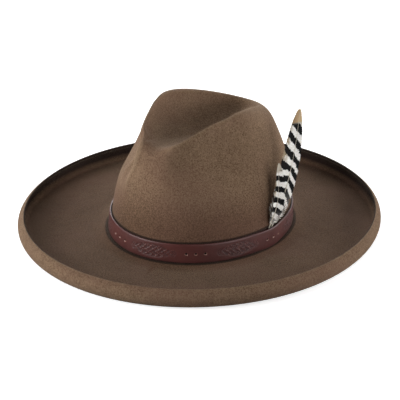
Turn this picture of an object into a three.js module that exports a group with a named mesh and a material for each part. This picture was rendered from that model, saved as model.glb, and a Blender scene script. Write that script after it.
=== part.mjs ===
// A wide-brimmed felt hat with a creased and pinched crown, a brim whose edge rolls up and over,
// a leather band round the foot of the crown, and two barred feathers tucked in the band.
// Millimetres, +Z up. The hat rests on the flat underside of its brim, at z = 0, and the origin is
// the centre of that plane. The front is -Y and the wearer's left is +X.

import * as THREE from "three";

const FELT = 2.5; // thickness of the felt, crown and brim alike
const AROUND = 72; // steps round the hat
const UP_THE_CROWN = 20; // steps from the foot of the crown to the bottom of its dent
const ROLL_STEPS = 6; // steps round the rolled edge

// Half sizes of the ovals in plan, across the hat and along it.
const CROWN_FOOT = { across: 83.6, along: 101.3 };
const ROLL_AXIS = { across: 162.0, along: 184.5 };

// The rolled edge: radius of its outer face, and how far it turns from flat, up and over.
const ROLL = { radius: 10.2, turn: THREE.MathUtils.degToRad(155) };

// The crown at nine angles from the front, the same on both sides. lean30 to lean90 say how far the
// wall leans in from the foot at those heights. The crest is the top fold, with a point on the outer
// slope (out, down) and one on the inner slope (in, fall) beside it, and floor is near the dent's
// bottom. The nose is at 0 to 12 degrees, the side pinch at 24 to 58 and the side at 80 to 115.
const CROWN_COLUMNS = [
  "angle", "lean30", "lean60", "lean75", "lean90",
  "out", "down", "crest", "crestZ", "in", "fall", "floor", "floorZ",
];
const CROWN_ROWS = [
  [0, 1.0, 4.5, 7.5, 11, 8, 6, 82, 105.5, 16, 0.5, 36, 100],
  [12, 1.2, 4.5, 9, 12, 4.5, 8, 82, 111, 10, 3, 32, 99],
  [24, 1.8, 6, 15, 23.5, 5, 9, 67, 119, 7, 8, 27, 99],
  [40, 2.2, 8.5, 21, 31, 5, 12, 54, 125.5, 5, 12, 23, 100],
  [58, 2.5, 9.5, 19.5, 28, 6, 13, 47.5, 128, 5, 12, 21, 100],
  [80, 2.5, 7.5, 12, 18, 10, 9, 42.5, 129.5, 5, 12, 20, 100],
  [115, 1.5, 6, 9.5, 14.5, 13, 9, 44, 126, 6, 11, 22, 100],
  [150, 1.8, 6.5, 10, 16, 12, 9, 58, 117.5, 8, 8, 28, 99],
  [180, 1.5, 5, 8, 12.5, 11, 9, 68, 112, 9, 7, 32, 98],
];
const CROWN_SECTIONS = CROWN_ROWS.map((row) =>
  Object.fromEntries(CROWN_COLUMNS.map((name, i) => [name, row[i]])));
const DENT_MIDDLE_Z = 95;

// The band: a strap that stands off the crown a little, and more where the feathers are tucked in.
const BAND = { gap: 0.4, thick: 2.0, height: 18.5, lift: 0.6 };
const BAND_TOP = FELT + BAND.lift + BAND.height;
const BAND_BULGE = { angle: 84.5, spread: 11, height: 2.3 };

// A feather: where its foot is tucked between the felt and the band, the points that its shaft passes
// on its way to the tip, the way its face looks, the widths of its vane to the front and the back of
// the shaft, and its shaft's thickness.
const LARGE_FEATHER = {
  tuck: [
    { turn: 82, z: 6 },
    { turn: 87.6, z: 23 },
  ],
  shaft: [
    { x: 85.6, y: 6, z: 42 },
    { x: 86.8, y: 14, z: 60 },
    { x: 87.0, y: 25, z: 95 },
    { x: 86.0, y: 32, z: 132 },
  ],
  face: 64,
  front: 15,
  back: 8.8,
  thick: 1.6,
};
const SMALL_FEATHER = {
  tuck: [
    { turn: 79.5, z: 9 },
    { turn: 84.6, z: 23 },
  ],
  shaft: [
    { x: 86.2, y: -2.5, z: 42 },
    { x: 86.2, y: -1, z: 62 },
    { x: 86.0, y: -3, z: 88 },
  ],
  face: 64,
  front: 4.8,
  back: 7.5,
  thick: 1.2,
};
const FEATHER_STEPS = 16;
const FEATHER_OPENS = 16; // height above the band over which the vane opens out
const LEAF_POINT = 3.2; // the higher it is, the nearer to the tip the vane starts to narrow
const FEATHER_EDGE = 0.5; // thickness at the vane's edge
const TOUCH = 0.48; // space between a feather and the felt, before the felt's facets take a part of it

// Radius of an oval at a polar angle from the front.
function ovalRadius(oval, angle) {
  return 1 / Math.hypot(Math.cos(angle) / oval.along, Math.sin(angle) / oval.across);
}

// Value of a column of CROWN_SECTIONS at an angle in degrees, smooth all the way round.
function columnAt(name, degrees) {
  const folded = Math.abs(((degrees + 540) % 360) - 180);
  const rows = CROWN_SECTIONS;
  const mirrored = [
    { ...rows[1], angle: -rows[1].angle },
    ...rows,
    { ...rows.at(-2), angle: 360 - rows.at(-2).angle },
  ];
  let i = 1;
  while (i < mirrored.length - 3 && folded > mirrored[i + 1].angle) i += 1;
  const [before, from, to, after] = mirrored.slice(i - 1, i + 3);
  const step = to.angle - from.angle;
  const slopeFrom = ((to[name] - before[name]) / (to.angle - before.angle)) * step;
  const slopeTo = ((after[name] - from[name]) / (after.angle - from.angle)) * step;
  const t = (folded - from.angle) / step;
  return (
    (1 + 2 * t) * (1 - t) ** 2 * from[name] +
    t * (1 - t) ** 2 * slopeFrom +
    t * t * (3 - 2 * t) * to[name] +
    t * t * (t - 1) * slopeTo
  );
}

// The crown's outer face at one angle, as radius and height. It runs from the foot over the crest to
// the hat's axis and on to the far side of the dent, so that it crosses the axis smoothly.
function crownProfile(degrees) {
  const column = (name) => columnAt(name, degrees);
  const foot = ovalRadius(CROWN_FOOT, THREE.MathUtils.degToRad(degrees));
  const crest = column("crest");
  const crestZ = column("crestZ");
  return new THREE.SplineCurve([
    new THREE.Vector2(foot, FELT),
    new THREE.Vector2(foot - column("lean30"), 30),
    new THREE.Vector2(foot - column("lean60"), 60),
    new THREE.Vector2(foot - column("lean75"), 75),
    new THREE.Vector2(foot - column("lean90"), 90),
    new THREE.Vector2(crest + column("out"), crestZ - column("down")),
    new THREE.Vector2(crest, crestZ),
    new THREE.Vector2(crest - column("in"), crestZ - column("fall")),
    new THREE.Vector2(column("floor"), column("floorZ")),
    new THREE.Vector2(0, DENT_MIDDLE_Z),
    new THREE.Vector2(-columnAt("floor", degrees + 180), columnAt("floorZ", degrees + 180)),
  ]);
}
const AXIS_SHARE = 0.9; // the axis is the ninth of the ten steps between the profile's points

// Point of the crown's outer face: turn is the angle in degrees, share runs from foot to axis.
function crownPoint(turn, share) {
  const p = crownProfile(turn).getPoint(share * AXIS_SHARE);
  const angle = THREE.MathUtils.degToRad(turn);
  return new THREE.Vector3(p.x * Math.sin(angle), -p.x * Math.cos(angle), p.y);
}

// The same point on the inner face, one felt thickness in along the normal.
function crownInnerPoint(turn, share) {
  const nearTurn = 0.5;
  const nearShare = 0.004;
  const along = crownPoint(turn, share + nearShare).sub(crownPoint(turn, share - nearShare));
  const across = crownPoint(turn + nearTurn, share).sub(crownPoint(turn - nearTurn, share));
  const normal = across.cross(along).normalize();
  return crownPoint(turn, share).addScaledVector(normal, -FELT);
}

// Point of an oval in plan and its outward direction there.
function ovalPoint(oval, turn) {
  const angle = THREE.MathUtils.degToRad(turn);
  const r = ovalRadius(oval, angle);
  const point = new THREE.Vector3(r * Math.sin(angle), -r * Math.cos(angle), 0);
  const outward = new THREE.Vector3(point.x / oval.across ** 2, point.y / oval.along ** 2, 0);
  return { point, outward: outward.normalize() };
}

// One closed section through the felt, from the dent's middle outside, round the edge, and back
// up the inside. Its first and last points lie on the hat's axis.
function feltSection(turn) {
  const section = [];
  for (let i = UP_THE_CROWN; i >= 0; i -= 1) section.push(crownPoint(turn, i / UP_THE_CROWN));
  const { point, outward } = ovalPoint(ROLL_AXIS, turn);
  const onRoll = (radius, angle) =>
    point
      .clone()
      .addScaledVector(outward, radius * Math.sin(angle))
      .setZ(ROLL.radius - radius * Math.cos(angle));
  for (let i = 0; i <= ROLL_STEPS; i += 1)
    section.push(onRoll(ROLL.radius - FELT, (ROLL.turn * i) / ROLL_STEPS));
  const lipTurn = ROLL.turn + (0.4 * FELT) / ROLL.radius;
  section.push(onRoll(ROLL.radius - FELT / 2, lipTurn));
  for (let i = ROLL_STEPS; i >= 0; i -= 1)
    section.push(onRoll(ROLL.radius, (ROLL.turn * i) / ROLL_STEPS));
  const innerFoot = crownInnerPoint(turn, 1 / UP_THE_CROWN);
  section.push(innerFoot.clone().setZ(0));
  for (let i = 1; i < UP_THE_CROWN; i += 1) section.push(crownInnerPoint(turn, i / UP_THE_CROWN));
  section.push(new THREE.Vector3(0, 0, DENT_MIDDLE_Z - FELT));
  return section;
}

// A closed mesh from equal sections set side by side round a loop. With ends set, the first and
// last point of every section is one shared point on the axis.
function loopSolid(sections, ends) {
  const positions = [];
  const index = [];
  const count = sections[0].length;
  for (const section of sections) for (const p of section) positions.push(p.x, p.y, p.z);
  const at = (i, j) => (i % sections.length) * count + j;
  const last = count - 1;
  for (let i = 0; i < sections.length; i += 1) {
    for (let j = 0; j < (ends ? last : count); j += 1) {
      const k = (j + 1) % count;
      const [a, b] = [at(i, j), at(i + 1, j)];
      const [c, d] = [at(i + 1, k), at(i, k)];
      if (ends && j === 0) index.push(at(0, 0), d, c);
      else if (ends && k === last) index.push(a, at(0, last), b);
      else index.push(a, d, c, a, c, b);
    }
  }
  return new THREE.BufferGeometry()
    .setAttribute("position", new THREE.Float32BufferAttribute(positions, 3))
    .setIndex(index)
    .toNonIndexed();
}

function turns() {
  return Array.from({ length: AROUND }, (_, i) => (360 * i) / AROUND);
}

function feltBody() {
  return loopSolid(turns().map(feltSection), true);
}

// Share of the crown's profile at a height on its wall.
function shareAtHeight(turn, z) {
  let [low, high] = [0, 0.25];
  for (let i = 0; i < 24; i += 1) {
    const middle = (low + high) / 2;
    if (crownPoint(turn, middle).z < z) low = middle;
    else high = middle;
  }
  return low;
}

// How far the band's inner face stands off the felt at an angle from the front.
function bandStandOff(turn) {
  const away = (turn - BAND_BULGE.angle) / BAND_BULGE.spread;
  return BAND.gap + BAND_BULGE.height * Math.exp(-away * away);
}

function bandSection(turn) {
  const { outward } = ovalPoint(CROWN_FOOT, turn);
  const wall = (z) => crownPoint(turn, shareAtHeight(turn, z)).setZ(z);
  const standOff = bandStandOff(turn);
  const face = (z, out) => wall(z).addScaledVector(outward, out);
  const bottom = BAND_TOP - BAND.height;
  return [
    face(BAND_TOP, standOff),
    face(BAND_TOP, standOff + BAND.thick),
    face(bottom, standOff + BAND.thick),
    face(bottom, standOff),
  ];
}

function hatBand() {
  return loopSolid(turns().map(bandSection), false);
}

// A feather is a thin leaf along a bowed shaft, thickest at the shaft.
function featherSolid(feather) {
  const tucked = ({ turn, z }) =>
    crownPoint(turn, shareAtHeight(turn, z))
      .addScaledVector(ovalPoint(CROWN_FOOT, turn).outward, TOUCH + feather.thick / 2);
  const shaft = new THREE.CatmullRomCurve3([
    ...feather.tuck.map(tucked),
    ...feather.shaft.map((p) => new THREE.Vector3(p.x, p.y, p.z)),
  ]);
  const looks = THREE.MathUtils.degToRad(feather.face);
  const looksAtFoot = THREE.MathUtils.degToRad(feather.tuck[0].turn);
  const sections = [];
  for (let i = 0; i <= FEATHER_STEPS; i += 1) {
    const t = i / FEATHER_STEPS;
    const middle = shaft.getPointAt(t);
    const rise = shaft.getTangentAt(t);
    const turned = THREE.MathUtils.lerp(looksAtFoot, looks, THREE.MathUtils.smoothstep(t, 0, 0.5));
    const face = new THREE.Vector3(Math.sin(turned), -Math.cos(turned), 0);
    face.addScaledVector(rise, -face.dot(rise)).normalize();
    const side = rise.clone().cross(face).normalize();
    const leaf = (1 - t ** LEAF_POINT) ** 0.75;
    const opens = THREE.MathUtils.smoothstep(middle.z, BAND_TOP + 1, BAND_TOP + FEATHER_OPENS);
    const thick = feather.thick * (1 - 0.7 * t);
    const width = (half) => Math.max(half * leaf * opens, thick / 2);
    const corner = (across, out) =>
      middle.clone().addScaledVector(side, across).addScaledVector(face, out);
    sections.push([
      corner(-width(feather.front), FEATHER_EDGE / 2),
      corner(0, thick / 2),
      corner(width(feather.back), FEATHER_EDGE / 2),
      corner(width(feather.back), -FEATHER_EDGE / 2),
      corner(0, -thick / 2),
      corner(-width(feather.front), -FEATHER_EDGE / 2),
    ]);
  }
  return stackSolid(sections);
}

// A closed mesh from equal sections stacked in a row, capped at both ends.
function stackSolid(sections) {
  const positions = sections.flatMap((section) => section.flatMap((p) => [p.x, p.y, p.z]));
  const index = [];
  const count = sections[0].length;
  for (let i = 0; i + 1 < sections.length; i += 1) {
    for (let j = 0; j < count; j += 1) {
      const k = (j + 1) % count;
      const [a, b] = [i * count + j, i * count + k];
      index.push(a, b, b + count, a, b + count, a + count);
    }
  }
  const top = (sections.length - 1) * count;
  for (let j = 1; j + 1 < count; j += 1) {
    index.push(0, j + 1, j);
    index.push(top, top + j, top + j + 1);
  }
  return new THREE.BufferGeometry()
    .setAttribute("position", new THREE.Float32BufferAttribute(positions, 3))
    .setIndex(index)
    .toNonIndexed();
}

function piece(name, geometry, color, roughness) {
  const material = new THREE.MeshStandardMaterial({ color, roughness, metalness: 0 });
  geometry.computeVertexNormals();
  const mesh = new THREE.Mesh(geometry, material);
  mesh.name = name;
  return mesh;
}

const hat = new THREE.Group();
hat.add(piece("felt_body", feltBody(), 0x6b5747, 0.95));
hat.add(piece("hat_band", hatBand(), 0x4a2323, 0.45));
hat.add(piece("large_feather", featherSolid(LARGE_FEATHER), 0xd8d2c6, 0.7));
hat.add(piece("small_feather", featherSolid(SMALL_FEATHER), 0xcfc3ae, 0.75));

export default hat;
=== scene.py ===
"""A wide-brimmed felt hat with a leather band and two barred feathers, finished round its frame.

Metres, +Z up. The front of the hat is -Y, the wearer's left is +X, and the brim rests at z = 0.
A value that its comment gives in mm is turned into metres by MM where it is used.
"""

import math
import random

import bpy
import numpy as np
from mathutils import Matrix, Vector


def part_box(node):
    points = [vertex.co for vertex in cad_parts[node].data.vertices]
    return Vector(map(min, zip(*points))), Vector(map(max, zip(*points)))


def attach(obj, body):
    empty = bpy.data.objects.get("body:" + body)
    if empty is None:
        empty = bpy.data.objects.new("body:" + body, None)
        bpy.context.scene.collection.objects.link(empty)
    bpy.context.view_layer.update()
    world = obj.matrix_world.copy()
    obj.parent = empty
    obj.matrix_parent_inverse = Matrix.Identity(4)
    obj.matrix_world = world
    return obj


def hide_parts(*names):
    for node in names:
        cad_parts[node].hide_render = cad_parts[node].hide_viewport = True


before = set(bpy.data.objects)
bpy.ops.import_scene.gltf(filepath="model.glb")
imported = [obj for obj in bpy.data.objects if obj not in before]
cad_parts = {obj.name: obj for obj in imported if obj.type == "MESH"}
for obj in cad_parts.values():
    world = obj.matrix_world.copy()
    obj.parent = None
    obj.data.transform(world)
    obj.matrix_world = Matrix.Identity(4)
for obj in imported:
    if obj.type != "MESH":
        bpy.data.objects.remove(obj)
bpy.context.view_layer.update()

MM = 0.001

# The view: the camera stands at the wearer's front left and looks a little down, rolled slightly.
VIEW_AZIMUTH = 33.0
VIEW_ELEVATION = 24.3
VIEW_ROLL = 1.98
VIEW_DISTANCE = 1500 * MM
VIEW_SIDE = -2.3 * MM
VIEW_HEIGHT = 23.9 * MM
FOCAL_PIXELS = 1519.0
FRAME_PIXELS = 400.0
SENSOR = 36.0

# Half axes in plan of the band's outside and of the line where the brim starts to roll up.
BAND_OVAL = {"across": 86.0 * MM, "along": 103.7 * MM}
ROLL_OVAL = {"across": 162.0 * MM, "along": 184.5 * MM}

# The felt: which edges of the frame stay sharp, by their turn in degrees and their height, and how
# sharp they stay. Those at the crown's foot stay fully sharp.
SHARP_TURN = 50
SHARP_BELOW = 40 * MM
SHARPNESS = 0.8
FOOT_HEIGHT = 4 * MM

# The felt by the band, which stays on the frame's surface: its reach as shares of the band's oval,
# and the heights between which it leaves that surface.
SEAT_SHARES = (0.9, 1.1)
SEAT_TOP = 20 * MM
SEAT_END = 24 * MM

# The fold down each side of the crown's nose, in mm: its distance from the middle at some heights,
# the way out on the wearer's right, and where it sets in, to the front, from below and from above.
# Then its rise and width, the hollow behind it, and the share of both on the wearer's left.
NOSE_HEIGHTS = (66, 76, 83, 95, 111, 122)
NOSE_ACROSS = (28, 25, 21, 17, 13, 11)
NOSE_OUTWARD = Vector((-0.35, -0.94, 0))
NOSE_FRONT = (-62, -72)
FOLD_START = (60, 78)
FOLD_END = (122, 106)
FOLD_RISE = 2.2
FOLD_WIDTH = 2.4
FOLD_HOLLOW = 4.6
HOLLOW_BEHIND = 9.5
HOLLOW_WIDTH = 5.5
LEFT_SHARE = 0.05

# How much tighter the crown's ridges and dents are drawn, the most that a point moves, and the
# heights in mm over which this sets in.
FOLD_TIGHTNESS = 0.65
MOST_TIGHTENED = 1.2 * MM
TIGHTENED_FROM = (45, 70)
TIGHTENING_ROUNDS = 20

# The painted shade inside the rolled edge: shares of the roll's oval and heights in mm over which it
# sets in, how much a level face counts as inside, and how much more one that faces in does.
IN_ROLL_SHARES = (0.95, 0.98)
IN_ROLL_HEIGHTS = (3.5, 8.5)
LEVEL_COUNTS = 0.35
FACING_COUNTS = 2.0

# The band's heights, from the frame, the rounding of its long edges, and how squarely a face of it
# looks outward to count as its outside.
BAND_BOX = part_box("hat_band")
BAND_BOTTOM = BAND_BOX[0].z
BAND_HEIGHT = BAND_BOX[1].z - BAND_BOTTOM
BAND_MIDDLE = BAND_BOTTOM + BAND_HEIGHT / 2
CORNER_ROUNDING = 0.5 * MM
OUTSIDE_FACING = 0.7

# The punched holes, in mm: the middles of their groups along the band from the front, their
# spacing, radius and depth.
HOLE_GROUPS = (-30.3, 54.4, 142.8, 227.6, 312.4, 397.3, 482.1)
HOLES_IN_GROUP = 3
HOLE_SPACING = 9.1
HOLE_RADIUS = 1.25
HOLE_DEPTH = 1.4

# The tooled patches between the groups, in mm: half sizes, depth, the width over which the border
# sinks, and the points of the chevrons past each end, with their half height, half width, slope and
# share of the depth.
TOOLED_HALF_LENGTH = 19.5
TOOLED_HALF_HEIGHT = 7.2
TOOLED_DEPTH = 0.26
TOOLED_BORDER = 1.8
CHEVRONS = (21.2, 23.4)
CHEVRON_HALF_HEIGHT = 3.4
CHEVRON_HALF_WIDTH = 0.5
CHEVRON_SLOPE = 0.7
CHEVRON_DEPTH = 0.8

# The carved scroll, in mm. A leaf is where its middle lies past its bend and up from the strap's
# middle, its turn in radians, its half length and its half width.
SCROLL_PITCH = 5.6
STEM_SWAY = 1.5
STEM_HALF_WIDTH = 0.7
SCROLL_LEAVES = (
    (0.7, 2.9, 0.9, 2.1, 0.95),
    (-0.9, 4.8, -0.5, 1.8, 0.85),
)
BERRY_HEIGHT = 0.6
BERRY_RADIUS = 0.8

# The feathers: points that each shaft passes, from the foot behind the band to the tip, in mm,
# and where the dark bars cross the shaft, as shares of its length.
LARGE_SHAFT = (
    (84.0, -11.8, 6.0), (83.2, -4.4, 21.1), (84.8, 3.1, 36.0),
    (86.4, 10.3, 51.1), (87.0, 16.4, 66.7), (87.1, 21.6, 82.7),
    (86.9, 25.9, 99.0), (86.5, 29.1, 115.5), (86.0, 32.0, 131.6),
)
LARGE_BARS = (0.215, 0.307, 0.400, 0.483, 0.560, 0.645, 0.750, 0.868)
SMALL_SHAFT = (
    (83.2, -15.4, 9.0), (82.7, -10.2, 17.9), (83.4, -6.2, 27.3),
    (85.5, -3.5, 37.0), (86.4, -1.8, 47.0), (86.3, -1.1, 57.3),
    (86.2, -1.2, 67.5), (86.1, -2.1, 77.5), (86.0, -3.0, 87.0),
)
SMALL_BARS = (0.150, 0.270, 0.400, 0.525, 0.660, 0.800)

# A feather's vane reaches front and back of its shaft, and its quill has this radius, in mm. The
# vane starts at one share of the shaft and opens out over another. A bar rises by its two slopes,
# one below the vane's middle and one above it, on each side.
LARGE_FEATHER = {
    "shaft": LARGE_SHAFT, "bars": LARGE_BARS, "seed": 5, "front": 15.0, "back": 8.8,
    "bar_rise_front": (0.1, 0.85), "bar_rise_back": (-1.0, -0.9),
    "barbs": 220, "start": 0.14, "opens": 0.12, "quill": 0.8,
}
SMALL_FEATHER = {
    "shaft": SMALL_SHAFT, "bars": SMALL_BARS, "seed": 8, "front": 5.0, "back": 7.5,
    "bar_rise_front": (0.1, 0.2), "bar_rise_back": (-0.35, -0.45),
    "barbs": 140, "start": 0.21, "opens": 0.16, "quill": 0.6,
}

# A vane: the way that it faces, in degrees round from the front, at its foot and higher up, how late
# it starts to narrow to its tip, how roundly it does so, its least width as a share of its full one,
# and where along the shaft its last barb is.
FACE_AT_FOOT = 80.0
FACE_ABOVE = 64.0
LEAF_POINT = 3.2
LEAF_ROUNDNESS = 0.75
LEAST_WIDTH = 0.03
LAST_BARB = 0.99

# The barbs: width and thickness in mm, how much of both the end loses, slant in degrees at the foot
# and how much of it is lost by the tip, bend towards the end, and how far the vane's edges curl to
# its face in mm. The marks of a point keep at least SIDE_MARGIN from the shaft's, so that its side
# of the shaft can be told.
BARB_WIDTH = 0.85
BARB_THICKNESS = 0.1
BARB_TAPER = 0.6
BARB_SLANT = 40
SLANT_LOST = 14
BARB_BEND = 0.25
VANE_CURL = 0.9
SIDE_MARGIN = 0.02

# The quill's radius along the shaft, as shares of its own: at the foot, lost by the tip, the least,
# and the swelling just above the band, with how far the quill stands out of the vane's face in mm.
QUILL_FOOT = 1.1
QUILL_LOST = 1.5
QUILL_LEAST = 0.22
QUILL_SWELLS = 0.35
QUILL_PROUD = 0.15
QUILL_STEPS = 60

# How barbs differ by chance: how often the vane splits and how far the barbs past a split lean,
# in radians, their length as a share, their lift and the shift of their bars in mm, and what the
# loose barbs over the first stretch of the vane add.
SPLIT_CHANCE = 0.06
SPLIT_LEAN = 0.07
LENGTH_CHANGE = 0.025
LIFT = 0.16
BAR_SHIFT = 0.35
LOOSE_STRETCH = 0.16
LOOSE_LEAN = (-0.4, 0.5)
LOOSE_LENGTH = 1.6
LOOSE_LIFT = 1.4

# Colours of the felt, the leather, the feathers and the floor. A pair goes from dark to pale.
# The felt's lower pair is darker and its upper pair paler: painted shade low down and painted light high
# up.
FELT_SHADED_LOW = ((0.052, 0.0275, 0.0165, 1), (0.154, 0.088, 0.053, 1))
FELT_LIT_HIGH = ((0.104, 0.063, 0.038, 1), (0.268, 0.174, 0.108, 1))
FELT_REDDER = (0.155, 0.080, 0.058, 1)
# Wear and painted highlight on raised edges.
FELT_WORN_AND_LIT = (0.32, 0.225, 0.145, 1)
# Painted shade inside the rolled edge.
FELT_ROLL_SHADE = (0.016, 0.009, 0.009, 1)
# Painted shadow under and beside the band.
FELT_BAND_SHADOW = (0.010, 0.006, 0.005, 1)
FELT_SHEEN = (0.95, 0.78, 0.58, 1)
HIDE = ((0.050, 0.0135, 0.0125, 1), (0.105, 0.030, 0.026, 1))
HIDE_STAINED = (0.030, 0.010, 0.009, 1)
# Rubbed specks and raised edges of the leather: partly wear, partly painted highlight.
HIDE_RUBBED_AND_LIT = (0.30, 0.105, 0.085, 1)
HIDE_WORN_AND_LIT = (0.23, 0.085, 0.065, 1)
# Painted highlight on the holes' lower lips.
HIDE_LIP_HIGHLIGHT = (0.62, 0.36, 0.28, 1)
# Painted shade in the holes.
HIDE_HOLE_SHADE = (0.006, 0.004, 0.004, 1)
VANE_WHITE = ((0.70, 0.66, 0.59, 1), (0.97, 0.96, 0.94, 1))
VANE_BUFF = ((0.16, 0.12, 0.08, 1), (0.54, 0.42, 0.27, 1))
VANE_CREAM = ((0.30, 0.27, 0.22, 1), (0.80, 0.74, 0.62, 1))
VANE_TAN = ((0.33, 0.22, 0.12, 1), (0.60, 0.43, 0.25, 1))
VANE_BAR = (0.005, 0.0045, 0.005, 1)
VANE_DOWN = (0.30, 0.26, 0.21, 1)
HORN = ((0.42, 0.34, 0.24, 1), (0.82, 0.77, 0.66, 1))
FLOOR_TO_LIGHT = (0.2, 0.19, 0.18, 1)
FLOOR_TO_CAMERA = (0.8, 0.8, 0.8, 1)
WHITE = (1, 1, 1, 1)

# Soft lights: azimuth and elevation as the camera's are given, side length and power. Each light
# stands LIGHT_DISTANCE from the point that it shines at. Then the spot on the feathers, the strength
# of the surround's light, and the floor's size and its drop below the brim.
LIGHTS = (
    ("left_low_softbox", -32, 8, 1.0, 24.0),
    ("left_softbox", -25, 28, 1.0, 6.8),
    ("far_left_softbox", -62, 6, 1.0, 6.0),
    ("left_kicker", -110, 15, 0.5, 6.8),
    ("right_softbox", 92, 8, 1.0, 12.4),
    ("right_back_softbox", 142, 10, 1.0, 20.3),
    ("back_softbox", 213, 30, 1.0, 14.1),
)
LIGHT_DISTANCE = 1.5
LIGHTS_AIM = Vector((0, 0, 0.05))
SPOT_WAY = (72, 14)
SPOT_AIM = Vector((85, 8, 75)) * MM
SPOT_POWER = 28.0
SPOT_ANGLE = 9
SPOT_SOFTNESS = 0.12
SURROUND_LIGHT = 0.01
FLOOR_SIZE = 12
FLOOR_DROP = 0.3 * MM


def smooth(low, high, value):
    """A smooth step from 0 to 1."""
    share = min(1.0, max(0.0, (value - low) / (high - low)))
    return share * share * (3 - 2 * share)


def ramp(values, start, end):
    """A straight step from 0 to 1, for an array of values."""
    return np.clip((values - start) / (end - start), 0, 1)


def direction(azimuth, elevation):
    """The way out at an angle round from the front, to the wearer's left, and up, in degrees."""
    turn, rise = math.radians(azimuth), math.radians(elevation)
    return Vector((math.sin(turn) * math.cos(rise), -math.cos(turn) * math.cos(rise), math.sin(rise)))


def add_object(name, data):
    """Puts a mesh, curve, light or camera into the scene."""
    piece = bpy.data.objects.new(name, data)
    bpy.context.scene.collection.objects.link(piece)
    return piece


def only(piece):
    """Selects one object and makes it the active one."""
    bpy.ops.object.select_all(action="DESELECT")
    piece.select_set(True)
    bpy.context.view_layer.objects.active = piece


def select_numbered(piece, kind, chosen):
    """Goes into edit mode with just the edges or faces of these numbers selected."""
    only(piece)
    bpy.ops.object.mode_set(mode="EDIT")
    bpy.ops.mesh.select_all(action="DESELECT")
    bpy.ops.mesh.select_mode(type=kind)
    bpy.ops.object.mode_set(mode="OBJECT")
    items = {"EDGE": piece.data.edges, "FACE": piece.data.polygons}[kind]
    for i in chosen:
        items[i].select = True
    bpy.ops.object.mode_set(mode="EDIT")


def edge_step(mesh, edge):
    """The step from an edge's first point to its second."""
    a, b = (mesh.vertices[i].co for i in edge.vertices)
    return b - a


def copy_of_node(node, name):
    """A copy of a frame node, its points merged and its triangles paired into quads."""
    piece = add_object(name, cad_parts[node].data.copy())
    piece.data.name = name
    piece.data.materials.clear()
    only(piece)
    bpy.ops.mesh.customdata_custom_splitnormals_clear()
    bpy.ops.object.mode_set(mode="EDIT")
    bpy.ops.mesh.select_all(action="SELECT")
    bpy.ops.mesh.remove_doubles(threshold=0.01 * MM)
    bpy.ops.mesh.tris_convert_to_quads(face_threshold=math.pi, shape_threshold=math.pi)
    bpy.ops.object.mode_set(mode="OBJECT")
    return piece


def subdivide_smooth(piece, levels):
    """Refines a piece with an applied Subdivision Surface."""
    only(piece)
    modifier = piece.modifiers.new("smooth", "SUBSURF")
    modifier.levels = levels
    modifier.render_levels = levels
    bpy.ops.object.modifier_apply(modifier=modifier.name)


def cover(piece, material):
    """Shades a piece smooth and gives it its material."""
    only(piece)
    bpy.ops.object.shade_smooth()
    piece.data.materials.append(material)


def read_rows(items, name, width, kind=float):
    """One value or vector of each item of a mesh, as the rows of an array."""
    rows = np.empty(len(items) * width, dtype=kind)
    items.foreach_get(name, rows)
    return rows.reshape(-1, width)


def move_points(mesh, places):
    """Puts a mesh's points at these places."""
    mesh.vertices.foreach_set("co", places.ravel())
    mesh.update()


def mark_points(mesh, name, values):
    """Stores a value for each point in an attribute that a material reads."""
    mesh.attributes.new(name, "FLOAT", "POINT").data.foreach_set("value", values)


def sum_at_ends(ends, rows):
    """For each vertex, the sum of the rows of the vertices that share an edge with it."""
    here = ends.ravel()
    there = ends[:, ::-1].ravel()
    sums = [np.bincount(here, weights=column[there], minlength=len(rows)) for column in rows.T]
    return np.column_stack(sums)


def smoothed(mesh, places, rounds):
    """The points after so many rounds of moving each to the mean of itself and its neighbours."""
    ends = read_rows(mesh.edges, "vertices", 2, np.int32)
    links = np.bincount(ends.ravel(), minlength=len(places))
    for _ in range(rounds):
        places = (places + sum_at_ends(ends, places)) / (links + 1)[:, None]
    return places


def stands_out(mesh, places, rounds):
    """How far each point stands out from the surface round it, along its normal."""
    steps = places - smoothed(mesh, places, rounds)
    return (steps * read_rows(mesh.vertices, "normal", 3)).sum(axis=1)


def mark_raised(piece, gain, rounds):
    """Marks how far each point stands out from the surface round it: 0.5 is level with it."""
    mesh = piece.data
    places = read_rows(mesh.vertices, "co", 3)
    mark_points(mesh, "raised", 0.5 + gain * stands_out(mesh, places, rounds))


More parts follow.
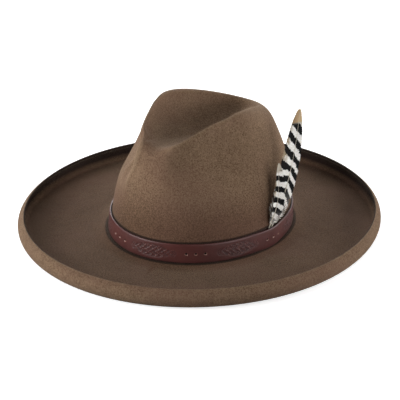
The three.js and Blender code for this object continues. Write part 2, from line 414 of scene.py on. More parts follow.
class Nodes:
    """Short calls for adding and joining the nodes of one material or node group."""

    def __init__(self, tree):
        self.tree = tree

    def add(self, kind, inputs=None, **settings):
        node = self.tree.nodes.new(kind)
        for name, value in settings.items():
            setattr(node, name, value)
        self.fill(node, inputs or {})
        return node

    def fill(self, node, inputs):
        for key, value in inputs.items():
            self.feed(node.inputs[key], value)

    def feed(self, socket, value):
        if isinstance(value, bpy.types.NodeSocket):
            self.tree.links.new(value, socket)
        else:
            socket.default_value = value

    def group(self, tree, **inputs):
        return self.add("ShaderNodeGroup", inputs, node_tree=tree).outputs

    def maths(self, operation, *values):
        return self.add("ShaderNodeMath", dict(enumerate(values)), operation=operation).outputs[0]

    def plus(self, a, b):
        return self.maths("ADD", a, b)

    def times(self, a, b):
        return self.maths("MULTIPLY", a, b)

    def swing(self, value, gain):
        """How far a value is from 0.5, times a gain."""
        return self.times(self.maths("SUBTRACT", value, 0.5), gain)

    def mix(self, factor, a, b):
        node = self.add("ShaderNodeMix", {0: factor, 6: a, 7: b}, data_type="RGBA")
        return node.outputs[2]

    def spread(self, value, low, high, to_low=0.0, to_high=1.0):
        """A smooth step as a value goes from low to high, where high may be the smaller one."""
        ends = {"From Min": low, "From Max": high, "To Min": to_low, "To Max": to_high}
        node = self.add("ShaderNodeMapRange", ends, interpolation_type="SMOOTHSTEP")
        self.feed(node.inputs["Value"], value)
        return node.outputs[0]

    def noise(self, place, scale, detail, roughness):
        inputs = {"Vector": place, "Scale": scale, "Detail": detail, "Roughness": roughness}
        return self.add("ShaderNodeTexNoise", inputs).outputs["Fac"]

    def cells(self, place, scale):
        return self.add("ShaderNodeTexVoronoi", {"Vector": place, "Scale": scale}).outputs["Distance"]

    def attribute(self, name):
        return self.add("ShaderNodeAttribute", attribute_name=name).outputs["Fac"]

    def place(self):
        return self.add("ShaderNodeTexCoord").outputs["Object"]

    def height_of(self, place):
        return self.add("ShaderNodeSeparateXYZ", {0: place}).outputs["Z"]

    def scaled(self, place, scales):
        return self.add("ShaderNodeMapping", {0: place, "Scale": scales}).outputs[0]

    def bump(self, height, strength, distance):
        inputs = {"Height": height, "Strength": strength, "Distance": distance}
        return self.add("ShaderNodeBump", inputs).outputs[0]


def new_material(name):
    """A material with an empty Principled surface, and the calls that fill it."""
    material = bpy.data.materials.new(name)
    material.use_nodes = True
    tree = material.node_tree
    return material, Nodes(tree), tree.nodes["Principled BSDF"]


def new_group(name, inputs, outputs):
    """A shader node group with named inputs (with defaults) and outputs."""
    tree = bpy.data.node_groups.new(name, "ShaderNodeTree")
    for label, kind, default in inputs:
        socket = tree.interface.new_socket(label, in_out="INPUT", socket_type=kind)
        socket.default_value = default
    for label, kind in outputs:
        tree.interface.new_socket(label, in_out="OUTPUT", socket_type=kind)
    nodes = Nodes(tree)
    return tree, nodes, nodes.add("NodeGroupInput").outputs, nodes.add("NodeGroupOutput").inputs


def fibre_group():
    """Short matted fibres: a fine speckle in shade and height, on top of broad soft patches."""
    inputs = (
        ("Place", "NodeSocketVector", (0, 0, 0)),
        ("Patch", "NodeSocketFloat", 0.5),
        ("Speckle", "NodeSocketFloat", 0.5),
    )
    outputs = (("Shade", "NodeSocketFloat"), ("Height", "NodeSocketFloat"))
    tree, n, given, out = new_group("matted_fibres", inputs, outputs)
    place = given["Place"]
    broad = n.noise(place, 22.0, 3.0, 0.5)
    cloud = n.noise(place, 90.0, 4.0, 0.6)
    grain = n.noise(place, 760.0, 3.0, 0.8)
    fine = n.noise(place, 2400.0, 2.0, 0.6)
    patches = n.plus(n.times(broad, 0.6), n.times(cloud, 0.4))
    speckle = n.plus(n.times(grain, 0.65), n.times(fine, 0.35))
    change = n.plus(n.swing(patches, given["Patch"]), n.swing(speckle, given["Speckle"]))
    n.feed(out["Shade"], n.plus(0.5, change))
    n.feed(out["Height"], n.plus(speckle, n.times(cloud, 0.6)))
    return tree


def wear_and_highlight_group():
    """Edge wear and painted highlight: a mask from the attribute raised, broken up by noise."""
    inputs = (
        ("Place", "NodeSocketVector", (0, 0, 0)),
        ("Raised", "NodeSocketFloat", 0.5),
        ("From", "NodeSocketFloat", 0.55),
        ("To", "NodeSocketFloat", 0.8),
    )
    tree, n, given, out = new_group("edge_wear_and_highlight", inputs, (("Mask", "NodeSocketFloat"),))
    broken = n.swing(n.noise(given["Place"], 160.0, 4.0, 0.6), 0.22)
    n.feed(out["Mask"], n.spread(n.plus(given["Raised"], broken), given["From"], given["To"]))
    return tree


FIBRES = fibre_group()
WEAR_AND_HIGHLIGHT = wear_and_highlight_group()


def ring_share(n, place, oval):
    """How far out a point lies in plan: 1 on the oval."""
    scales = (1 / oval["across"], 1 / oval["along"], 0)
    scaled = n.add("ShaderNodeVectorMath", {0: place, 1: scales}, operation="MULTIPLY")
    return n.add("ShaderNodeVectorMath", {0: scaled.outputs[0]}, operation="LENGTH").outputs["Value"]


def band_shadow_mask(n, place):
    """A mask for painted shadow: 1 on the felt under the band and for a line beside it."""
    ring = ring_share(n, place, BAND_OVAL)
    height = n.height_of(place)
    on_brim = n.times(n.spread(ring, 1.042, 1.020), n.spread(height, 4.5 * MM, 3.5 * MM))
    on_crown = n.times(n.spread(height, 24.0 * MM, 22.2 * MM), n.spread(height, 3.0 * MM, 3.6 * MM))
    return n.maths("MAXIMUM", on_brim, n.times(on_crown, n.spread(ring, 1.02, 1.01)))


def felt_material():
    """Fur felt: painted light high up and on the outside of the roll, wear and painted highlight on raised
    edges, painted shade inside the roll and painted shadow by the band.
    """
    material, n, surface = new_material("taupe_felt")
    place = n.place()
    height = n.height_of(place)
    fibres = n.group(FIBRES, Place=place, Patch=0.7, Speckle=5.6)
    shade = n.spread(fibres["Shade"], -0.1, 1.1)
    # Painted light: the felt gets paler high up on the crown and on the outside of the roll, where the
    # lights fall.
    roll_lit = n.times(n.spread(ring_share(n, place, ROLL_OVAL), 1.005, 1.03), 0.7)
    lit_share = n.maths("MAXIMUM", n.spread(height, 25 * MM, 80 * MM), roll_lit)
    painted_light_felt = n.mix(lit_share, n.mix(shade, *FELT_SHADED_LOW), n.mix(shade, *FELT_LIT_HIGH))
    redder_patches = n.spread(n.noise(place, 16.0, 2.0, 0.5), 0.4, 0.7)
    patched = n.mix(redder_patches, painted_light_felt, n.mix(0.35, painted_light_felt, FELT_REDDER))
    # Raised edges of the felt: partly wear, partly painted highlight, less of it high up and none on the
    # underside.
    worn_and_lit = n.group(WEAR_AND_HIGHLIGHT, Place=place, Raised=n.attribute("raised"), From=0.56, To=0.95)["Mask"]
    less_high_up = n.times(worn_and_lit, n.spread(height, 30 * MM, 60 * MM, 0.7, 0.4))
    wear_and_highlight = n.times(less_high_up, n.spread(height, 3 * MM, 7 * MM))
    colour = n.mix(wear_and_highlight, patched, FELT_WORN_AND_LIT)
    # Painted shade inside the rolled edge.
    shaded = n.mix(n.times(n.attribute("roll_shade"), 0.92), colour, FELT_ROLL_SHADE)
    # Painted shadow under and beside the band.
    band_shadowed = n.mix(n.times(band_shadow_mask(n, place), 0.85), shaded, FELT_BAND_SHADOW)
    n.fill(surface, {
        "Base Color": band_shadowed,
        "Roughness": 0.95,
        "Specular IOR Level": 0.15,
        "Sheen Weight": 0.16,
        "Sheen Roughness": 0.4,
        "Sheen Tint": FELT_SHEEN,
        "Normal": n.bump(fibres["Height"], 0.9, 0.9 * MM),
    })
    return material


def leather_material():
    """Red-brown hide with a stained, speckled ground in the tooling, rubbed specks and raised edges that
    are partly painted highlight, painted shade in the holes and pale lower lips that are painted highlight.
    """
    material, n, surface = new_material("tooled_leather")
    place = n.place()
    tooled = n.attribute("tooled")
    hide = n.mix(n.noise(place, 60.0, 4.0, 0.6), *HIDE)
    stained = n.mix(n.times(tooled, 0.55), hide, HIDE_STAINED)
    seeds = n.cells(place, 780.0)
    # Light specks on the raised seeds of the tooling: partly rubbed, partly painted highlight.
    rubbed_and_lit = n.times(n.spread(seeds, 0.42, 0.22), n.spread(n.noise(place, 300.0, 2.0, 0.5), 0.42, 0.60))
    seeded = n.mix(n.times(n.times(rubbed_and_lit, tooled), 0.75), stained, HIDE_RUBBED_AND_LIT)
    # Raised edges: partly wear, partly painted highlight.
    worn_and_lit = n.group(WEAR_AND_HIGHLIGHT, Place=place, Raised=n.attribute("raised"), From=0.6, To=1.0)["Mask"]
    colour = n.mix(n.times(worn_and_lit, 0.55), seeded, HIDE_WORN_AND_LIT)
    # Painted highlight on the lower lip of each hole.
    lip_highlighted = n.mix(n.times(n.attribute("lip"), 0.8), colour, HIDE_LIP_HIGHLIGHT)
    creases = n.noise(place, 420.0, 5.0, 0.65)
    grain = n.plus(n.times(n.cells(place, 1100.0), 0.7), creases)
    stamped = n.times(n.times(seeds, tooled), -1.6)
    rough = n.plus(0.34, n.plus(n.times(creases, 0.2), n.times(tooled, 0.12)))
    # The holes get painted shade.
    n.fill(surface, {
        "Base Color": n.mix(n.attribute("hole"), lip_highlighted, HIDE_HOLE_SHADE),
        "Roughness": rough,
        "Specular IOR Level": 0.5,
        "Normal": n.bump(n.plus(grain, stamped), 0.35, 0.25 * MM),
    })
    return material


def vane_material():
    """White barbs with dark bars. The UV map holds each point's share along and across the vane."""
    material, n, surface = new_material("barred_vane")
    uv = n.add("ShaderNodeUVMap", uv_map="vane").outputs[0]
    along, across, _ = n.add("ShaderNodeSeparateXYZ", {0: uv}).outputs
    place = n.place()
    streaks = n.noise(n.scaled(uv, (260, 5, 1)), 1.0, 3.0, 0.6)
    white = n.mix(n.spread(streaks, 0.3, 0.62), *VANE_WHITE)
    from_shaft = n.maths("ABSOLUTE", n.maths("SUBTRACT", across, 0.5))
    spots = n.times(n.spread(n.noise(place, 150.0, 3.0, 0.6), 0.38, 0.50), n.spread(from_shaft, 0.16, 0.34))
    in_front = n.maths("LESS_THAN", across, 0.5)
    buff = n.times(n.times(spots, in_front), n.spread(along, 0.52, 0.66))
    buffed = n.mix(buff, white, n.mix(streaks, *VANE_BUFF))
    cream = n.mix(n.noise(place, 500.0, 3.0, 0.6), *VANE_CREAM)
    creamed = n.mix(n.spread(along, 0.86, 0.90), buffed, cream)
    ragged = n.plus(n.swing(streaks, 1.3), n.swing(n.noise(place, 230.0, 2.0, 0.5), 2.4))
    cycle = n.maths("COSINE", n.times(n.attribute("bar_phase"), 2 * math.pi))
    faded = n.times(n.spread(along, 0.16, 0.42, 0.5, 1.0), n.spread(along, 0.92, 0.88))
    bars = n.times(n.spread(n.plus(cycle, ragged), -0.2, 0.0), faded)
    barred = n.mix(bars, creamed, VANE_BAR)
    tan = n.mix(n.spread(across, 0.30, 0.55), *VANE_TAN)
    tipped = n.mix(n.spread(n.height_of(place), 117.6 * MM, 119.2 * MM), barred, tan)
    down = n.times(n.spread(along, 0.36, 0.20), n.spread(streaks, 0.62, 0.40))
    n.fill(surface, {
        "Base Color": n.mix(n.times(down, 0.6), tipped, VANE_DOWN),
        "Roughness": 0.7,
        "Specular IOR Level": 0.12,
        "Normal": n.bump(streaks, 0.35, 0.12 * MM),
    })
    return material


def quill_material():
    """Pale horn with fine streaks up the quill."""
    material, n, surface = new_material("horn_quill")
    streaks = n.noise(n.scaled(n.place(), (1, 1, 0.15)), 900.0, 3.0, 0.6)
    n.fill(surface, {
        "Base Color": n.mix(streaks, *HORN),
        "Roughness": n.plus(0.28, n.times(streaks, 0.2)),
        "Normal": n.bump(streaks, 0.2, 0.05 * MM),
    })
    return material


def keep_edges(piece):
    """Creases the frame's sharp low edges, so that the subdivision doesn't round them off."""
    mesh = piece.data
    facing = {}
    for face in mesh.polygons:
        for key in face.edge_keys:
            facing.setdefault(key, []).append(face.normal.copy())
    creases = mesh.attributes.new("crease_edge", "FLOAT", "EDGE")
    for edge in mesh.edges:
        normals = facing[tuple(sorted(edge.vertices))]
        height = mesh.vertices[edge.vertices[0]].co.z
        turn = normals[0].angle(normals[1], 0) if len(normals) == 2 else 0
        if height < SHARP_BELOW and turn > math.radians(SHARP_TURN):
            creases.data[edge.index].value = SHARPNESS if height > FOOT_HEIGHT else 1.0


def clear_band_seat(hat):
    """Puts the felt by the band back on the frame's surface, so that the band doesn't sink into it."""
    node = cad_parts["felt_body"]
    nearest, farthest = SEAT_SHARES
    for vertex in hat.data.vertices:
        share = math.hypot(vertex.co.x / BAND_OVAL["across"], vertex.co.y / BAND_OVAL["along"])
        if vertex.co.z < SEAT_END and nearest < share < farthest:
            _, there, _, _ = node.closest_point_on_mesh(vertex.co)
            weight = 1 - smooth(SEAT_TOP, SEAT_END, vertex.co.z)
            vertex.co += (there - vertex.co) * weight
    hat.data.update()


def fold_nose(hat):
    """Pinches the nose: raises a fold down each side of it and hollows the felt behind the fold."""
    places = read_rows(hat.data.vertices, "co", 3) / MM
    height = places[:, 2]
    fold = np.interp(height, NOSE_HEIGHTS, NOSE_ACROSS)
    fade = ramp(height, *FOLD_START) * ramp(height, *FOLD_END) * ramp(places[:, 1], *NOSE_FRONT)
    for side, share in ((-1, 1.0), (1, LEFT_SHARE)):
        past = side * places[:, 0] - fold
        ridge = FOLD_RISE * np.exp(-((past / FOLD_WIDTH) ** 2))
        hollow = FOLD_HOLLOW * np.exp(-(((past - HOLLOW_BEHIND) / HOLLOW_WIDTH) ** 2))
        way = np.array((-side * NOSE_OUTWARD.x, NOSE_OUTWARD.y, 0))
        places += ((ridge - hollow) * fade * share)[:, None] * way
    move_points(hat.data, places * MM)


def tighten_folds(hat):
    """Draws the crown's ridges and dents tighter than the frame's surface has them."""
    mesh = hat.data
    places = read_rows(mesh.vertices, "co", 3)
    change = stands_out(mesh, places, TIGHTENING_ROUNDS) * FOLD_TIGHTNESS
    change = np.clip(change, -MOST_TIGHTENED, MOST_TIGHTENED)
    change *= ramp(places[:, 2] / MM, *TIGHTENED_FROM)
    places += change[:, None] * read_rows(mesh.vertices, "normal", 3)
    move_points(mesh, places)


def mark_roll_shade(hat):
    """Marks the felt that faces in on the hollow side of the rolled edge, for painted shade."""
    mesh = hat.data
    places = read_rows(mesh.vertices, "co", 3)
    scaled = places[:, :2] / (ROLL_OVAL["across"], ROLL_OVAL["along"])
    share = np.linalg.norm(scaled, axis=1)
    ways_out = scaled / share[:, None]
    facing_in = -(read_rows(mesh.vertices, "normal", 3)[:, :2] * ways_out).sum(axis=1)
    mask = np.clip(LEVEL_COUNTS + FACING_COUNTS * facing_in, 0, 1) * ramp(share, *IN_ROLL_SHARES)
    mark_points(mesh, "roll_shade", mask * ramp(places[:, 2] / MM, *IN_ROLL_HEIGHTS))


def felt_hat():
    """The crown and brim: the frame's felt, refined to a smooth sheet with a pinched nose."""
    hat = copy_of_node("felt_body", "felt_hat")
    keep_edges(hat)
    subdivide_smooth(hat, 2)
    clear_band_seat(hat)
    fold_nose(hat)
    tighten_folds(hat)
    mark_raised(hat, gain=260.0, rounds=14)
    mark_roll_shade(hat)
    cover(hat, felt_material())
    return hat


def arc_table(oval):
    """Length along the oval from the front to each of its evenly turned points, in mm."""
    turns = np.linspace(0, 2 * math.pi, 721)
    reach = 1 / np.hypot(np.cos(turns) / oval["along"], np.sin(turns) / oval["across"])
    steps = np.hypot(np.diff(reach * np.sin(turns)), np.diff(reach * np.cos(turns)))
    return turns, np.concatenate(([0.0], np.cumsum(steps))) / MM


TURNS, ARCS = arc_table(BAND_OVAL)
ROUND = float(ARCS[-1])


def arc_at(x, y):
    """How far along the band points lie, in mm from the front, by way of the wearer's left."""
    return np.interp(np.arctan2(x, -y) % (2 * math.pi), TURNS, ARCS)


def arc_between(a, b):
    """The shorter way round the band from b to a, in mm."""
    return (a - b + ROUND / 2) % ROUND - ROUND / 2


def outward(place):
    """The band's outward direction in plan at a point."""
    return Vector((place.x / BAND_OVAL["across"] ** 2, place.y / BAND_OVAL["along"] ** 2, 0)).normalized()


def hole_places():
    """Where the punched holes are along the band, in mm."""
    middle = (HOLES_IN_GROUP - 1) / 2
    return [group + (k - middle) * HOLE_SPACING for group in HOLE_GROUPS for k in range(HOLES_IN_GROUP)]


def tooled_middles():
    """The middles of the tooled patches, each halfway between two groups of holes."""
    around = list(HOLE_GROUPS) + [HOLE_GROUPS[0] + ROUND]
    return [(a + b) / 2 for a, b in zip(around, around[1:])]


HOLE_PLACES = hole_places()
TOOLED_MIDDLES = tooled_middles()


def from_patch(arc):
    """How far a point lies along the band from the middle of the nearest tooled patch, in mm."""
    return min((arc_between(arc, middle) for middle in TOOLED_MIDDLES), key=abs)


def leaf(s, t, middle_s, middle_t, turn, length, width):
    """How far inside a leaf the point s along and t up the strap lies: 1 on its midrib, 0 at its edge."""
    x = (s - middle_s) * math.cos(turn) + (t - middle_t) * math.sin(turn)
    y = (t - middle_t) * math.cos(turn) - (s - middle_s) * math.sin(turn)
    if abs(x) >= length:
        return 0.0
    return max(0.0, 1 - abs(y) / (width * (1 - (x / length) ** 2)))


def scroll(s, t):
    """The carved motif: a wavy stem with paired leaves and a berry in each bend."""
    bend = STEM_SWAY * math.sin(2 * math.pi * s / SCROLL_PITCH)
    motif = max(0.0, 1 - abs(t - bend) / STEM_HALF_WIDTH)
    nearest = round(s / (SCROLL_PITCH / 2))
    for k in range(nearest - 2, nearest + 3):
        side = 1 if k % 2 else -1
        root = k * SCROLL_PITCH / 2
        for past, up, turn, length, width in SCROLL_LEAVES:
            motif = max(motif, leaf(s, t, root + past, side * up, side * turn, length, width))
        from_berry = math.hypot(s - root - SCROLL_PITCH / 4, t + side * BERRY_HEIGHT)
        motif = max(motif, 1 - from_berry / BERRY_RADIUS)
    return motif


def tooled_depth(s, t):
    """Depth of the stamped ornament, from 0 to 1, at s along and t up from a patch's middle, in mm."""
    reach = max(0.0, 1 - (s / TOOLED_HALF_LENGTH) ** 2)
    inside = TOOLED_HALF_HEIGHT * math.sqrt(reach) - abs(t)
    if inside > 0:
        return min(1.0, inside / TOOLED_BORDER) * (1 - min(1.0, scroll(s, t) * 2.0))
    for point in CHEVRONS:
        off = abs(abs(s) - point + abs(t) * CHEVRON_SLOPE)
        if off < CHEVRON_HALF_WIDTH and abs(t) < CHEVRON_HALF_HEIGHT:
            return CHEVRON_DEPTH
    return 0.0


def round_corners(band):
    """Bevels the strap's four long edges."""
    mesh = band.data
    top = BAND_BOTTOM + BAND_HEIGHT

    def on_a_rim(edge):
        height = mesh.vertices[edge.vertices[0]].co.z
        step = edge_step(mesh, edge)
        at_rim = min(abs(height - top), abs(height - BAND_BOTTOM)) < 0.05 * MM
        return abs(step.z) < 0.01 * MM and at_rim and step.length > 4 * MM

    select_numbered(band, "EDGE", [e.index for e in mesh.edges if on_a_rim(e)])
    bpy.ops.mesh.bevel(offset=CORNER_ROUNDING, segments=1, affect="EDGES")
    bpy.ops.object.mode_set(mode="OBJECT")


def outer_faces(band, half_height):
    """Each face on the outside, within this height of the middle, with its arc and height in mm."""
    for face in band.data.polygons:
        height = (face.center.z - BAND_MIDDLE) / MM
        if abs(height) < half_height and face.normal.dot(outward(face.center)) > OUTSIDE_FACING:
            yield face, float(arc_at(face.center.x, face.center.y)), height


def refine_worked_zones(band):
    """Splits the outer faces that the ornament and the holes cross, so that they are cut cleanly."""
    reach = CHEVRONS[-1] + 1
    chosen = []
    for face, arc, height in outer_faces(band, TOOLED_HALF_HEIGHT + 0.5):
        to_hole = min(math.hypot(arc_between(arc, place), height) for place in HOLE_PLACES)
        if to_hole < 2 * HOLE_RADIUS or abs(from_patch(arc)) < reach:
            chosen.append(face.index)
    select_numbered(band, "FACE", chosen)
    bpy.ops.mesh.subdivide(number_cuts=1)
    bpy.ops.object.mode_set(mode="OBJECT")


def tool_band(band):
    """Presses the ornament into the strap's outer face."""
    mesh = band.data
    places = read_rows(mesh.vertices, "co", 3)
    slopes = places[:, :2] / (BAND_OVAL["across"] ** 2, BAND_OVAL["along"] ** 2)
    ways_out = np.column_stack((slopes, np.zeros(len(places))))
    ways_out /= np.linalg.norm(ways_out, axis=1)[:, None]
    facing_out = (ways_out * read_rows(mesh.vertices, "normal", 3)).sum(axis=1)
    heights = (places[:, 2] - BAND_MIDDLE) / MM
    arcs = arc_at(places[:, 0], places[:, 1])
    depths = np.zeros(len(places))
    for i in np.flatnonzero(facing_out > OUTSIDE_FACING):
        depths[i] = tooled_depth(from_patch(arcs[i]), heights[i])
    move_points(mesh, places - ways_out * depths[:, None] * TOOLED_DEPTH * MM)
    mark_points(mesh, "tooled", depths)


def round_off(band, places_of_rims, chosen):
    """Moves the outline of each hole's faces onto a circle, and marks its lower half as the lip, which gets
    a painted highlight.
    """
    mesh = band.data
    uses = {}
    for i in chosen:
        for key in mesh.polygons[i].edge_keys:
            uses[key] = uses.get(key, 0) + 1
    lips = np.zeros(len(mesh.vertices))
    for i in {i for key, count in uses.items() if count == 1 for i in key}:
        place = mesh.vertices[i].co
        off = arc_between(float(arc_at(place.x, place.y)), places_of_rims[i])
        rise = (place.z - BAND_MIDDLE) / MM
        stretch = HOLE_RADIUS / max(math.hypot(off, rise), 0.1)
        way_out = outward(place)
        place += Vector((-way_out.y, way_out.x, 0)) * off * (stretch - 1) * MM
        place.z += rise * (stretch - 1) * MM
        lips[i] = min(1.0, max(0.0, -rise / HOLE_RADIUS))
    mark_points(mesh, "lip", lips)


def punch_holes(band):
    """Sinks round holes at the strap's mid height: the faces inside each circle go straight in, and are
    marked for painted shade.
    """
    chosen = []
    places_of_rims = {}
    for face, arc, height in outer_faces(band, 2 * HOLE_RADIUS):
        for place in HOLE_PLACES:
            if math.hypot(arc_between(arc, place), height) < HOLE_RADIUS:
                chosen.append(face.index)
                places_of_rims.update({i: place for i in face.vertices})
    round_off(band, places_of_rims, chosen)
    select_numbered(band, "FACE", chosen)
    bpy.ops.mesh.extrude_region_shrink_fatten(TRANSFORM_OT_shrink_fatten={"value": -HOLE_DEPTH * MM})
    bpy.ops.object.mode_set(mode="OBJECT")
    in_hole = np.zeros(len(band.data.vertices))
    for face in band.data.polygons:
        if face.select:
            in_hole[list(face.vertices)] = 1.0
    mark_points(band.data, "hole", in_hole)


def add_strap_map(band):
    """A UV map in decimetres: along the strap and up it."""
    mesh = band.data
    places = read_rows(mesh.vertices, "co", 3)
    corners = read_rows(mesh.loops, "vertex_index", 1, np.int32)[:, 0]
    starts = read_rows(mesh.polygons, "loop_start", 1, np.int32)[:, 0]
    counts = read_rows(mesh.polygons, "loop_total", 1, np.int32)[:, 0]
    first = np.repeat(starts, counts)
    along = arc_at(places[:, 0], places[:, 1])[corners]
    along += np.round((along[first] - along) / ROUND) * ROUND
    up = (places[corners, 2] - BAND_BOTTOM) / MM
    layer = mesh.uv_layers.new(name="strap")
    layer.data.foreach_set("uv", (np.column_stack((along, up)) / 100).ravel())


def leather_band():
    """The band: the frame's strap with rounded edges, punched holes in threes and a tooled ornament."""
    band = copy_of_node("hat_band", "leather_band")
    upright = [e.index for e in band.data.edges if abs(edge_step(band.data, e).z) > BAND_HEIGHT / 2]
    select_numbered(band, "EDGE", upright)
    bpy.ops.mesh.subdivide(number_cuts=2)
    bpy.ops.object.mode_set(mode="OBJECT")
    round_corners(band)
    subdivide_smooth(band, 3)
    refine_worked_zones(band)
    tool_band(band)
    punch_holes(band)
    add_strap_map(band)
    mark_raised(band, gain=1500.0, rounds=3)
    cover(band, leather_material())
    return band


def catmull(points, t):
    """Point at share t of a smooth curve through the points."""
    spans = len(points) - 1
    at = min(t, 0.999999) * spans
    i = int(at)
    u = at - i
    p1, p2 = points[i], points[i + 1]
    p0 = points[i - 1] if i > 0 else p1 * 2 - p2
    p3 = points[i + 2] if i + 2 <= spans else p2 * 2 - p1
    first = (p2 - p0) * u
    second = (2 * p0 - 5 * p1 + 4 * p2 - p3) * u**2
    third = (3 * p1 - p0 - 3 * p2 + p3) * u**3
    return 0.5 * (2 * p1 + first + second + third)


class Shaft:
    """A feather's shaft: its place and the way its vane looks, at a share of its length."""

    def __init__(self, points):
        self.points = [Vector(p) * MM for p in points]
        self.shares = np.linspace(0, 1, 201)
        run = [catmull(self.points, t) for t in self.shares]
        steps = [(b - a).length for a, b in zip(run, run[1:])]
        self.lengths = np.concatenate(([0.0], np.cumsum(steps)))
        self.length = float(self.lengths[-1])

    def place(self, t):
        return catmull(self.points, float(np.interp(t * self.length, self.lengths, self.shares)))

    def axes(self, t):
        """Directions up the shaft, out of the vane's face, and across it to the back."""
        up = (self.place(min(1, t + 0.01)) - self.place(max(0, t - 0.01))).normalized()
        turn = math.radians(FACE_AT_FOOT + (FACE_ABOVE - FACE_AT_FOOT) * smooth(0.0, 0.5, t))
        face = Vector((math.sin(turn), -math.cos(turn), 0))
        face = (face - up * face.dot(up)).normalized()
        return up, face, up.cross(face).normalized()


def barb_blade():
    """One barb: a long thin blade that narrows to its end, a unit long."""
    bpy.ops.object.select_all(action="DESELECT")
    bpy.ops.mesh.primitive_cube_add(size=1, location=(0.5, 0, 0))
    blade = bpy.context.active_object
    bpy.ops.object.transform_apply(location=True)
    long_edges = [e.index for e in blade.data.edges if abs(edge_step(blade.data, e).x) > 0.5]
    select_numbered(blade, "EDGE", long_edges)
    bpy.ops.mesh.subdivide(number_cuts=5)
    bpy.ops.object.mode_set(mode="OBJECT")
    for vertex in blade.data.vertices:
        taper = 1 - BARB_TAPER * smooth(0.75, 1.0, vertex.co.x)
        vertex.co.y *= taper
        vertex.co.z *= taper
    return blade


def bar_phase(bars, t):
    """A count that passes a whole number at each dark bar."""
    first, last = 2 * bars[0] - bars[1], 2 * bars[-1] - bars[-2]
    return float(np.interp(t, (first, *bars, last), range(-1, len(bars) + 1)))


def bar_slope(feather, side, t):
    """How far a bar rises for each step away from the shaft, below the vane's middle and above it."""
    low, high = feather["bar_rise_front" if side < 0 else "bar_rise_back"]
    return low + (high - low) * smooth(0.5, 0.78, t)


def vane_width(t, feather):
    """Share of the vane's full width: opens above the band and rounds off to the tip."""
    opened = (t - feather["start"] + LEAST_WIDTH) / feather["opens"]
    opens = math.sin(min(1.0, max(0.0, opened)) * math.pi / 2)
    return opens * (1 - t**LEAF_POINT) ** LEAF_ROUNDNESS + LEAST_WIDTH


class Barb:
    """How one barb leaves the shaft: its root, its length and the small ways in which it differs."""

    def __init__(self, shaft, feather, side, t, splay, dice):
        self.shaft, self.feather, self.side, self.t = shaft, feather, side, t
        self.up, self.face, self.across = shaft.axes(t)
        self.root = shaft.place(t)
        self.half = feather["front" if side < 0 else "back"] * MM
        loose = 1 - smooth(0.0, LOOSE_STRETCH, t - feather["start"])
        slant = math.radians(BARB_SLANT - SLANT_LOST * t)
        self.slant = slant + splay + loose * dice.uniform(*LOOSE_LEAN)
        width = self.half * vane_width(t, feather)
        change = dice.uniform(-LENGTH_CHANGE, LENGTH_CHANGE)
        self.length = width * (1 + change) + loose * dice.uniform(0.0, LOOSE_LENGTH) * MM
        self.lift = (dice.uniform(0.0, LIFT) + loose * dice.uniform(0.0, LOOSE_LIFT)) * MM
        self.late = dice.uniform(-BAR_SHIFT, BAR_SHIFT) * MM

    def point(self, x, y, z):
        """Where a point of the unit blade lies on the vane, and its marks for the material."""
        out = self.length * x
        rise = out * math.tan(self.slant) * (1 + BARB_BEND * x) + y * BARB_WIDTH * MM
        curl = VANE_CURL * MM * (out / self.half) ** 2 + z * BARB_THICKNESS * MM + self.lift * x
        place = self.root + self.across * self.side * out + self.up * rise + self.face * curl
        share = self.t + rise / self.shaft.length
        later = bar_slope(self.feather, self.side, share) * out + self.late
        across = 0.5 + 0.5 * self.side * max(SIDE_MARGIN, out / self.half)
        return place, (share, across), share - later / self.shaft.length


def vane(name, feather, blade):
    """Both sides of a feather's vane: the blade repeated along the shaft and laid on the vane's form."""
    dice = random.Random(feather["seed"])
    shaft = Shaft(feather["shaft"])
    corners = [v.co.copy() for v in blade.data.vertices]
    faces = [tuple(f.vertices) for f in blade.data.polygons]
    points, polygons, marks, phases = [], [], [], []
    for side in (-1, 1):
        splay = 0.0
        turned = faces if side > 0 else [tuple(reversed(f)) for f in faces]
        for k in range(feather["barbs"]):
            t = feather["start"] + (LAST_BARB - feather["start"]) * (k + 0.5) / feather["barbs"]
            if dice.random() < SPLIT_CHANCE:
                splay = dice.uniform(-SPLIT_LEAN, SPLIT_LEAN)
            barb = Barb(shaft, feather, side, t, splay, dice)
            first = len(points)
            for corner in corners:
                place, mark, crossing = barb.point(*corner)
                points.append(place)
                marks.append(mark)
                phases.append(bar_phase(feather["bars"], crossing))
            polygons += [tuple(first + i for i in f) for f in turned]
    mesh = bpy.data.meshes.new(name)
    mesh.from_pydata(points, [], polygons)
    layer = mesh.uv_layers.new(name="vane")
    for loop in mesh.loops:
        layer.data[loop.index].uv = marks[loop.vertex_index]
    mark_points(mesh, "bar_phase", phases)
    return add_object(name, mesh)


def quill(name, feather):
    """The shaft as a round tube that swells just above the band and thins to the tip."""
    shaft = Shaft(feather["shaft"])
    curve = bpy.data.curves.new(name, "CURVE")
    curve.dimensions = "3D"
    curve.bevel_depth = feather["quill"] * MM
    curve.bevel_resolution = 3
    curve.use_fill_caps = True
    spline = curve.splines.new("POLY")
    spline.points.add(QUILL_STEPS)
    for i, point in enumerate(spline.points):
        t = i / QUILL_STEPS
        _, face, _ = shaft.axes(t)
        point.co = (*(shaft.place(t) + face * QUILL_PROUD * MM), 1)
        swelling = QUILL_SWELLS * smooth(0.16, 0.22, t) * (1 - smooth(0.3, 0.5, t))
        point.radius = max(QUILL_LEAST, QUILL_FOOT - QUILL_LOST * t) * (1 + swelling)
    piece = add_object(name, curve)
    only(piece)
    bpy.ops.object.convert(target="MESH")
    bpy.ops.object.mode_set(mode="EDIT")
    bpy.ops.mesh.select_all(action="SELECT")
    bpy.ops.mesh.remove_doubles(threshold=0.001 * MM)
    bpy.ops.mesh.normals_make_consistent(inside=False)
    bpy.ops.object.mode_set(mode="OBJECT")
    return piece


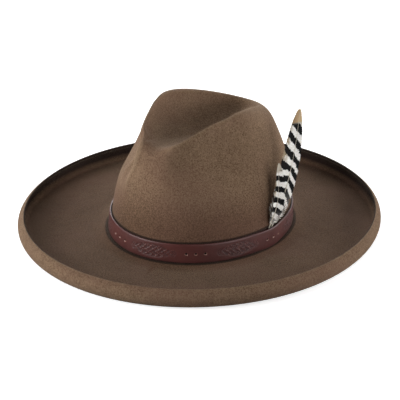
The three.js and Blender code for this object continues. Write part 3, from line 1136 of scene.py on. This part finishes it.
def feathers():
    """Two feathers tucked behind the band: each a quill and a vane of barbs."""
    blade = barb_blade()
    barred = vane_material()
    horn = quill_material()
    pieces = []
    for label, feather in (("large", LARGE_FEATHER), ("small", SMALL_FEATHER)):
        vanes = vane(label + "_vane", feather, blade)
        vanes.data.materials.append(barred)
        stem = quill(label + "_quill", feather)
        cover(stem, horn)
        pieces.append((label, vanes, stem))
    bpy.data.objects.remove(blade)
    return pieces


def floor():
    """A pale floor that the hat rests on, which looks white to the camera."""
    bpy.ops.object.select_all(action="DESELECT")
    bpy.ops.mesh.primitive_plane_add(size=FLOOR_SIZE, location=(0, 0, -FLOOR_DROP))
    ground = bpy.context.active_object
    ground.name = "studio_floor"
    bpy.ops.object.transform_apply(location=True)
    material, n, surface = new_material("pale_floor")
    seen = n.add("ShaderNodeLightPath").outputs["Is Camera Ray"]
    n.fill(surface, {
        "Base Color": n.mix(seen, FLOOR_TO_LIGHT, FLOOR_TO_CAMERA),
        "Roughness": 0.9,
        "Specular IOR Level": 0.1,
        "Emission Color": WHITE,
        "Emission Strength": n.times(seen, 0.7),
    })
    ground.data.materials.append(material)


def camera():
    """The camera at the photograph's angle, a little off the hat's axis and rolled."""
    back = direction(VIEW_AZIMUTH, VIEW_ELEVATION)
    turn, roll = math.radians(VIEW_AZIMUTH), math.radians(VIEW_ROLL)
    level = Vector((math.cos(turn), math.sin(turn), 0))
    right = level * math.cos(roll) + back.cross(level) * math.sin(roll)
    lens = bpy.data.cameras.new("camera")
    lens.sensor_width = SENSOR
    lens.lens = SENSOR * FOCAL_PIXELS / FRAME_PIXELS
    lens.clip_start = 0.05
    seen_by = add_object("camera", lens)
    place = level * VIEW_SIDE + Vector((0, 0, VIEW_HEIGHT)) + back * VIEW_DISTANCE
    axes = Matrix((right, back.cross(right), back)).transposed().to_4x4()
    seen_by.matrix_world = Matrix.Translation(place) @ axes
    bpy.context.scene.camera = seen_by


def shine(name, light, way, aim):
    """Puts a light some way out from a point and turns it to shine there."""
    lamp = add_object(name, light)
    lamp.location = way * LIGHT_DISTANCE + aim
    lamp.rotation_euler = way.to_track_quat("Z", "Y").to_euler()


def lights():
    """The softboxes round the hat."""
    for name, azimuth, elevation, size, power in LIGHTS:
        light = bpy.data.lights.new(name, "AREA")
        light.shape = "RECTANGLE"
        light.size = size
        light.size_y = size
        light.energy = power
        shine(name, light, direction(azimuth, elevation), LIGHTS_AIM)


def feather_light():
    """A narrow light from the right that reaches the feathers and the crown beside them."""
    light = bpy.data.lights.new("feather_spot", "SPOT")
    light.energy = SPOT_POWER
    light.spot_size = math.radians(SPOT_ANGLE)
    light.spot_blend = 1.0
    light.shadow_soft_size = SPOT_SOFTNESS
    shine("feather_spot", light, direction(*SPOT_WAY), SPOT_AIM)


def surround():
    """A white surround to the camera, and a dim one to the light."""
    world = bpy.data.worlds.new("studio")
    world.use_nodes = True
    bpy.context.scene.world = world
    n = Nodes(world.node_tree)
    seen = n.add("ShaderNodeLightPath").outputs["Is Camera Ray"]
    strength = n.plus(SURROUND_LIGHT, n.times(seen, 1 - SURROUND_LIGHT))
    n.fill(world.node_tree.nodes["Background"], {"Color": WHITE, "Strength": strength})


hat = felt_hat()
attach(hat, "root")
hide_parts("felt_body")

band = leather_band()
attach(band, "root")
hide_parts("hat_band")

for label, vanes, stem in feathers():
    for piece in (vanes, stem):
        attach(piece, "root")
        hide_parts(label + "_feather")

floor()
camera()
lights()
feather_light()
surround()
bpy.context.scene.view_settings.view_transform = "Standard"
